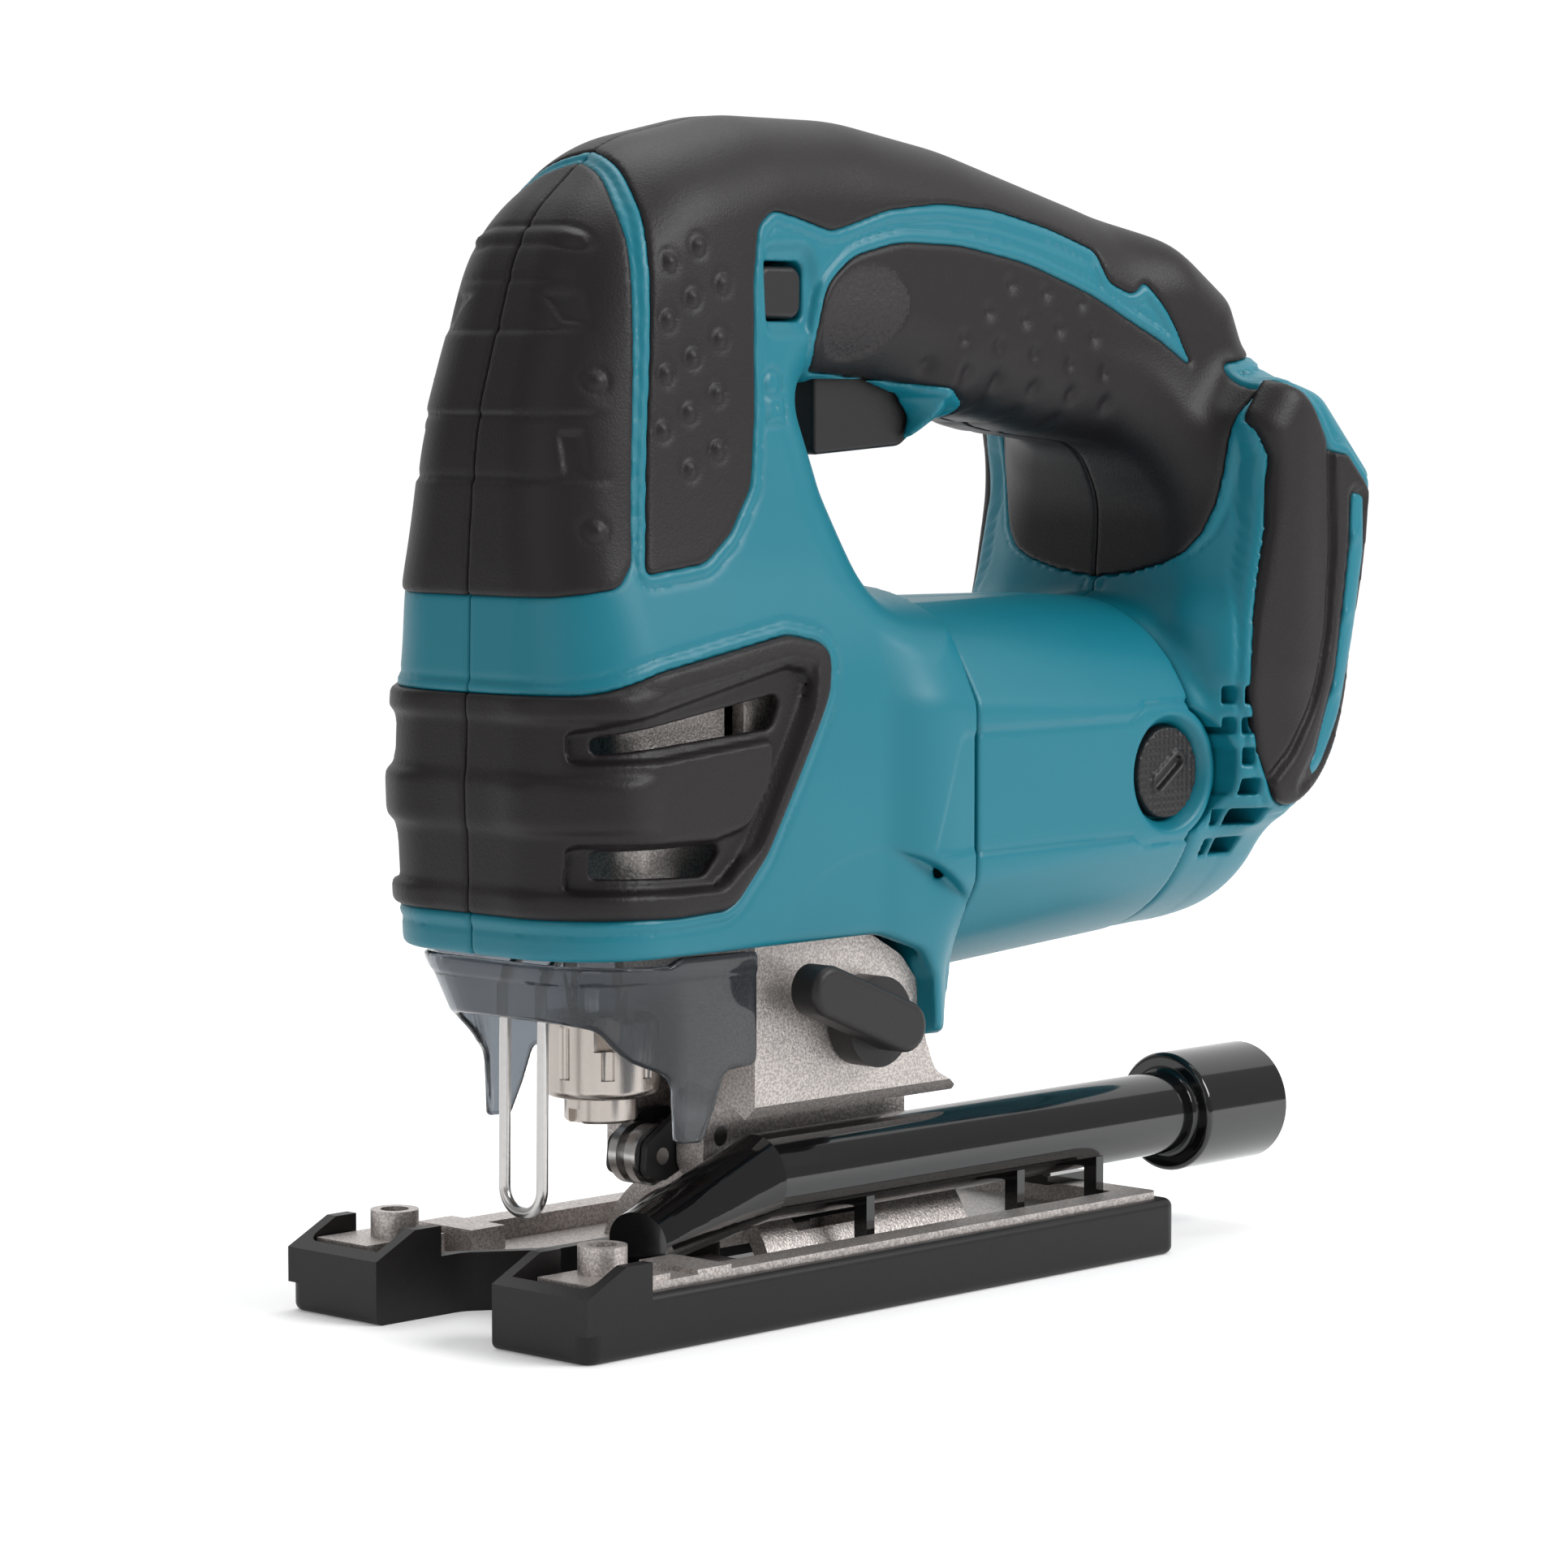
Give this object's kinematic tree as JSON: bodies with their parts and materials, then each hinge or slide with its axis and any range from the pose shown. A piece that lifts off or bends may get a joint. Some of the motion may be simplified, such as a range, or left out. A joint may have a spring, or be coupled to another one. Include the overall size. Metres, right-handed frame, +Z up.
{
  "type": "jigsaw power tool",
  "caption": "Cordless D-handle jigsaw with overmoulded clamshell housing, orbital lever, keyless blade clamp, tilting shoe and dust tube; no battery or blade fitted.",
  "frame": {"origin": "on the sole's underside, on the centre plane, halfway along the overall length", "axes": "+X to the rear, towards the battery rails; the blade cuts towards -X; +Z up from the sole; -Y is the side with the orbital lever"},
  "size_m": [0.2116, 0.075, 0.2063],
  "materials": {
    "teal_plastic": "fine moulded texture",
    "grip_rubber": "matte moulded elastomer",
    "screw_steel": "blackened steel",
    "bright_steel": "ground steel",
    "nickel_steel": "nickel plated steel",
    "dark_iron": "dark phosphated iron",
    "brass": "plain brass",
    "bronze": "sintered bronze",
    "copper": "enamelled copper",
    "carbon": "carbon brush",
    "black_plastic": "matte moulded plastic",
    "sole_plastic": "satin moulded plastic",
    "gloss_black": "glossy moulded plastic",
    "cast_aluminium": "speckled as-cast metal",
    "smoke_clear": "smoke tinted clear plastic"
  },
  "bodies": {
    "root": {"housing_left": "teal_plastic", "housing_right": "teal_plastic", "front_pad_left": "grip_rubber", "front_pad_right": "grip_rubber", "nose_bumper_left": "grip_rubber", "nose_bumper_right": "grip_rubber", "grip_left": "grip_rubber", "grip_right": "grip_rubber", "mount_pad_left": "grip_rubber", "mount_pad_right": "grip_rubber", "housing_screws": "screw_steel", "motor_housing": "teal_plastic", "motor_screws": "screw_steel", "stator_can": "bright_steel", "magnets": "dark_iron", "front_bearing": "bright_steel", "rear_bearing": "bright_steel", "brush_holders": "brass", "brushes": "carbon", "brush_springs": "bright_steel", "brush_caps": "black_plastic", "gear_housing": "cast_aluminium", "gear_shaft": "bright_steel", "plunger_bushes": "bronze", "roller_arm_pin": "bright_steel", "bevel_bolt": "screw_steel", "switch_module": "black_plastic", "controller": "cast_aluminium", "terminal_block": "black_plastic", "terminal_blades": "brass", "wire_guard": "bright_steel", "trigger_spring": "bright_steel"},
    "armature": {"armature_shaft": "bright_steel", "armature_core": "dark_iron", "windings": "copper", "commutator": "copper", "cooling_fan": "black_plastic"},
    "crank": {"crank_gear": "bright_steel", "crank_pin": "bright_steel"},
    "plunger": {"plunger_rod": "bright_steel", "yoke": "bright_steel", "blade_clamp": "nickel_steel"},
    "clamp_collar": {"clamp_collar": "nickel_steel"},
    "counterweight": {"counterweight": "dark_iron"},
    "roller_arm": {"roller_arm": "dark_iron", "roller_pin": "bright_steel"},
    "guide_roller": {"guide_roller": "bright_steel"},
    "orbital_lever": {"orbital_lever": "black_plastic"},
    "trigger": {"trigger": "black_plastic"},
    "lock_button": {"lock_button": "black_plastic"},
    "dust_cover": {"dust_cover": "smoke_clear"},
    "bevel_carriage": {"bevel_plate": "dark_iron"},
    "shoe": {"sole_cover": "sole_plastic", "base_casting": "cast_aluminium", "dust_nozzle": "gloss_black", "rear_clip": "gloss_black"}
  },
  "joints": [
    {"name": "armature_spin", "type": "hinge", "parent": "root", "child": "armature", "pos_m": [0.014, 0, 0.0875], "axis": [1, 0, 0], "continuous": true},
    {"name": "crank_spin", "type": "hinge", "parent": "root", "child": "crank", "pos_m": [-0.05, 0, 0.1109], "axis": [1, 0, 0], "continuous": true},
    {"name": "plunger_slide", "type": "slide", "parent": "root", "child": "plunger", "axis": [0, 0, 1], "range_m": [0, 0.026]},
    {"name": "collar_turn", "type": "hinge", "parent": "plunger", "child": "clamp_collar", "pos_m": [-0.0667, 0, 0.045], "axis": [0, 0, 1], "range_deg": [0, 60], "stiffness_Nm_per_rad": 0.02},
    {"name": "counterweight_slide", "type": "slide", "parent": "root", "child": "counterweight", "axis": [0, 0, 1], "range_m": [-0.0079, 0.0001]},
    {"name": "roller_swing", "type": "hinge", "parent": "root", "child": "roller_arm", "pos_m": [-0.0491, 0, 0.0294], "axis": [0, 1, 0], "range_deg": [-4, 4]},
    {"name": "roller_spin", "type": "hinge", "parent": "roller_arm", "child": "guide_roller", "pos_m": [-0.0568, 0, 0.026], "axis": [0, 1, 0], "continuous": true},
    {"name": "orbital_turn", "type": "hinge", "parent": "root", "child": "orbital_lever", "pos_m": [-0.027, -0.02, 0.049], "axis": [0, 1, 0], "range_deg": [0, 105]},
    {"name": "trigger_pull", "type": "slide", "parent": "root", "child": "trigger", "axis": [0, 0, 1], "range_m": [0, 0.005], "stiffness_N_per_m": 1200, "springref_m": -0.001},
    {"name": "lock_slide", "type": "slide", "parent": "root", "child": "lock_button", "axis": [0, 1, 0], "range_m": [-0.003, 0.003]},
    {"name": "dust_cover_slide", "type": "slide", "parent": "root", "child": "dust_cover", "axis": [0, 0, 1], "range_m": [0, 0.011]},
    {"name": "shoe_slide", "type": "slide", "parent": "root", "child": "bevel_carriage", "axis": [1, 0, 0], "range_m": [0, 0.01]},
    {"name": "shoe_tilt", "type": "hinge", "parent": "bevel_carriage", "child": "shoe", "pos_m": [-0.022, 0, 0], "axis": [-1, 0, 0], "range_deg": [-45, 0]}
  ],
  "couplings": [
    {"joint": "crank_spin", "follows": "armature_spin", "ratio": -0.3},
    {"joint": "counterweight_slide", "follows": "plunger_slide", "ratio": -0.3}
  ]
}
